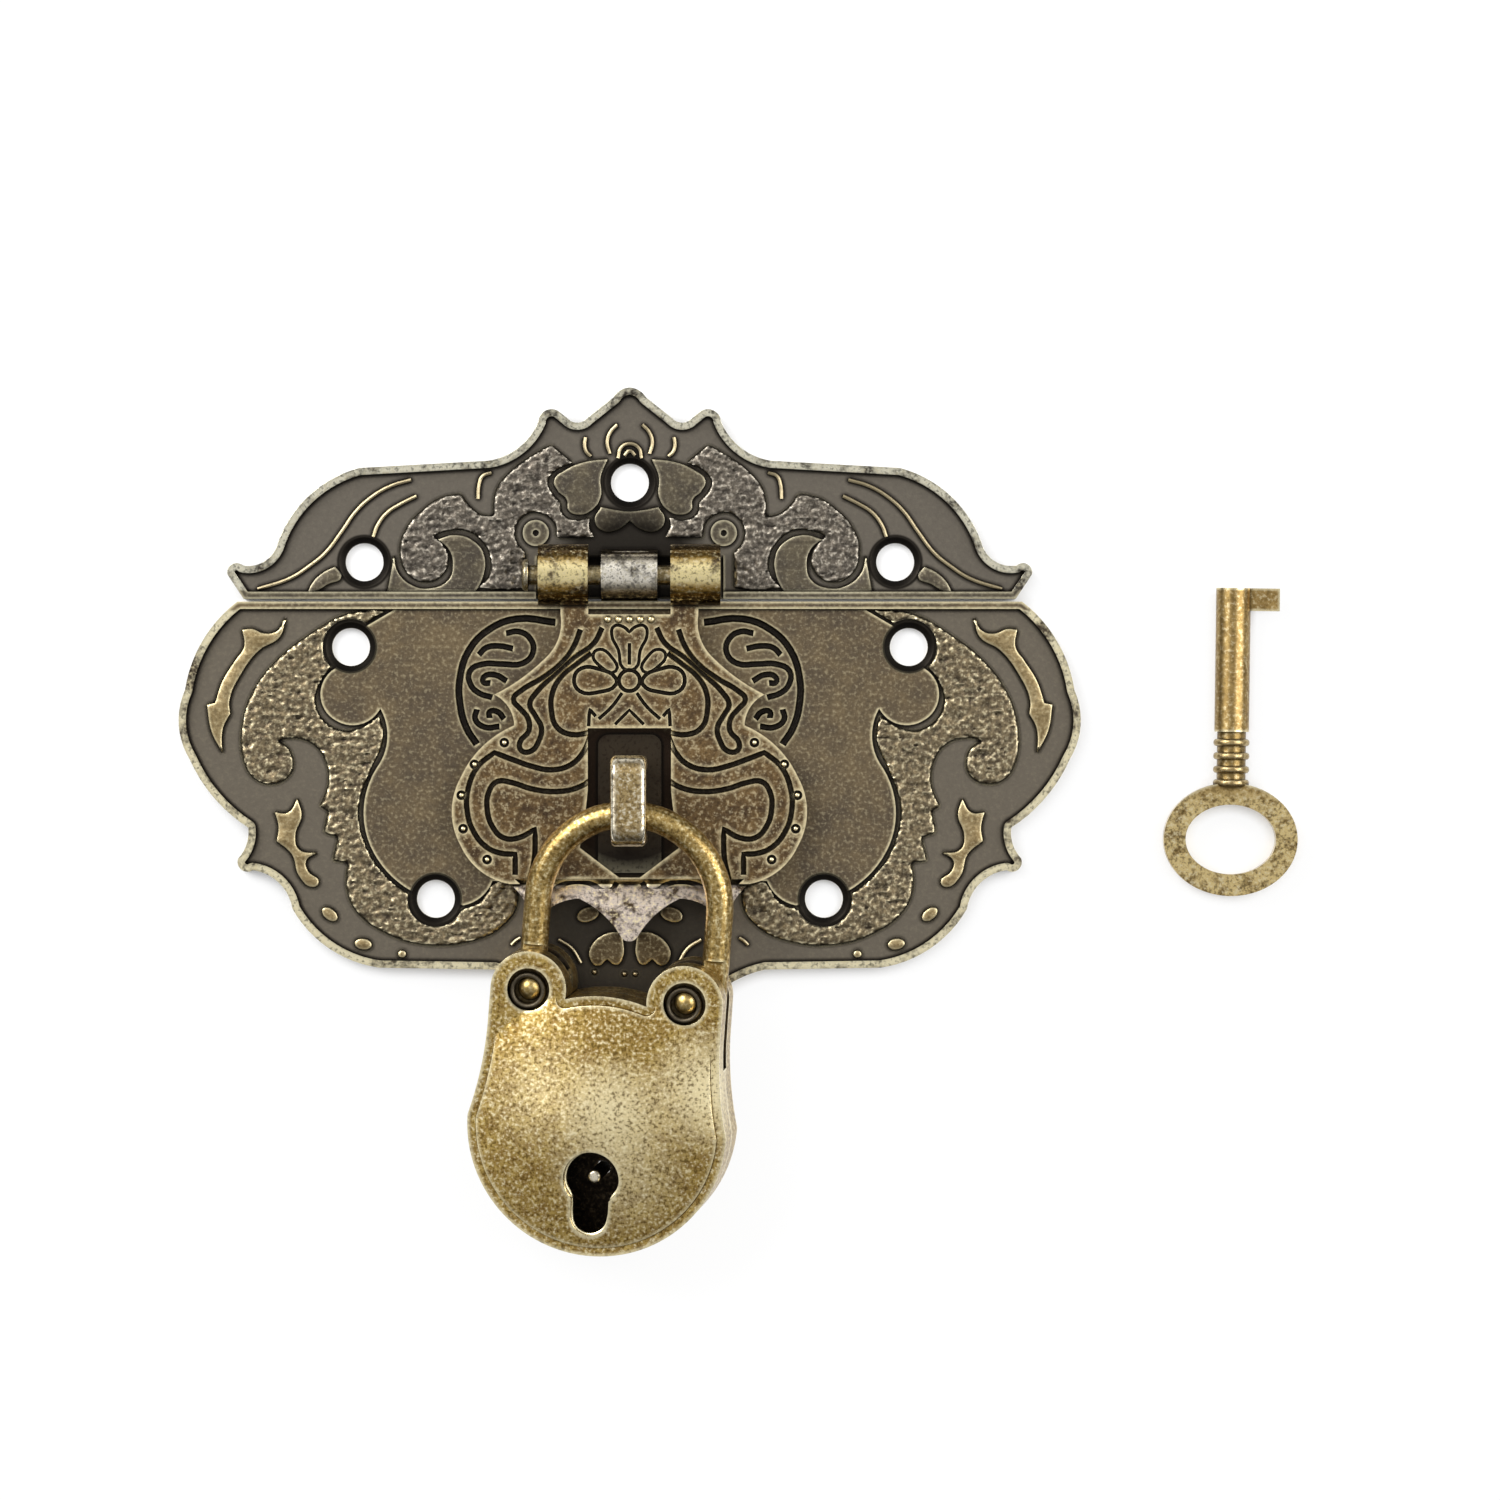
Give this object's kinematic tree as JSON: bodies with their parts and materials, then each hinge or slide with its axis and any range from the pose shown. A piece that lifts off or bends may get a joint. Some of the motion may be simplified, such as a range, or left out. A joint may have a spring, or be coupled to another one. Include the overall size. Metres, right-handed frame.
{
  "type": "hasp lock",
  "caption": "Ornamental hasp with a hinged slotted leaf over a staple, a riveted ring-shackle padlock through it, and a pipe key.",
  "frame": {"origin": "on the plates' back plane, on the centre line, at the top edge of the lower plate, which is the parting line of lid and box", "axes": "+X to the right along the hinge pin, +Y up over the upper plate, +Z out of the box face"},
  "size_m": [0.1237, 0.0957, 0.0146],
  "materials": {
    "plate_bronze": "antique bronze plated zinc casting, rubbed on its high spots",
    "case_brass": "antique brass, tumbled and speckled",
    "shackle_brass": "antique brass, rubbed",
    "rivet_brass": "dark patina with a rubbed dome",
    "pin_steel": "bronze washed steel",
    "works_steel": "plain pressed steel",
    "key_bronze": "antique bronze, rubbed on its edges"
  },
  "bodies": {
    "box_side": {"lower_plate": "plate_bronze", "staple": "shackle_brass", "hasp_plate": "plate_bronze", "hinge_pin": "pin_steel"},
    "lid_side": {"upper_plate": "plate_bronze"},
    "shackle": {"shackle": "shackle_brass"},
    "padlock": {"padlock_front_shell": "case_brass", "padlock_back_shell": "case_brass", "shackle_rivet": "rivet_brass", "lobe_rivet": "rivet_brass", "drill_pin": "works_steel", "bolt_spring": "works_steel"},
    "bolt": {"lock_bolt": "works_steel"},
    "key": {"key": "key_bronze"}
  },
  "joints": [
    {"name": "hasp_hinge", "type": "hinge", "parent": "box_side", "child": "lid_side", "pos_m": [0, 0.0029, 0.0043], "axis": [1, 0, 0], "range_deg": [0, 155]},
    {"name": "padlock_swing", "type": "hinge", "parent": "box_side", "child": "shackle", "pos_m": [0, -0.02346, 0.01064], "axis": [-1, 0, 0], "range_deg": [0, 90]},
    {"name": "shackle_pivot", "type": "hinge", "parent": "shackle", "child": "padlock", "pos_m": [-0.01039, -0.0422, 0.0072], "axis": [0.1392, 0.1035, -0.9848], "range_deg": [0, 50]},
    {"name": "bolt_throw", "type": "slide", "parent": "padlock", "child": "bolt", "axis": [0.9875, -0.0891, 0.1302], "range_m": [0, 0.0021]},
    {"name": "key_lift", "type": "slide", "parent": "box_side", "child": "key", "axis": [0, 0, 1], "range_m": [0, 0.05]}
  ]
}
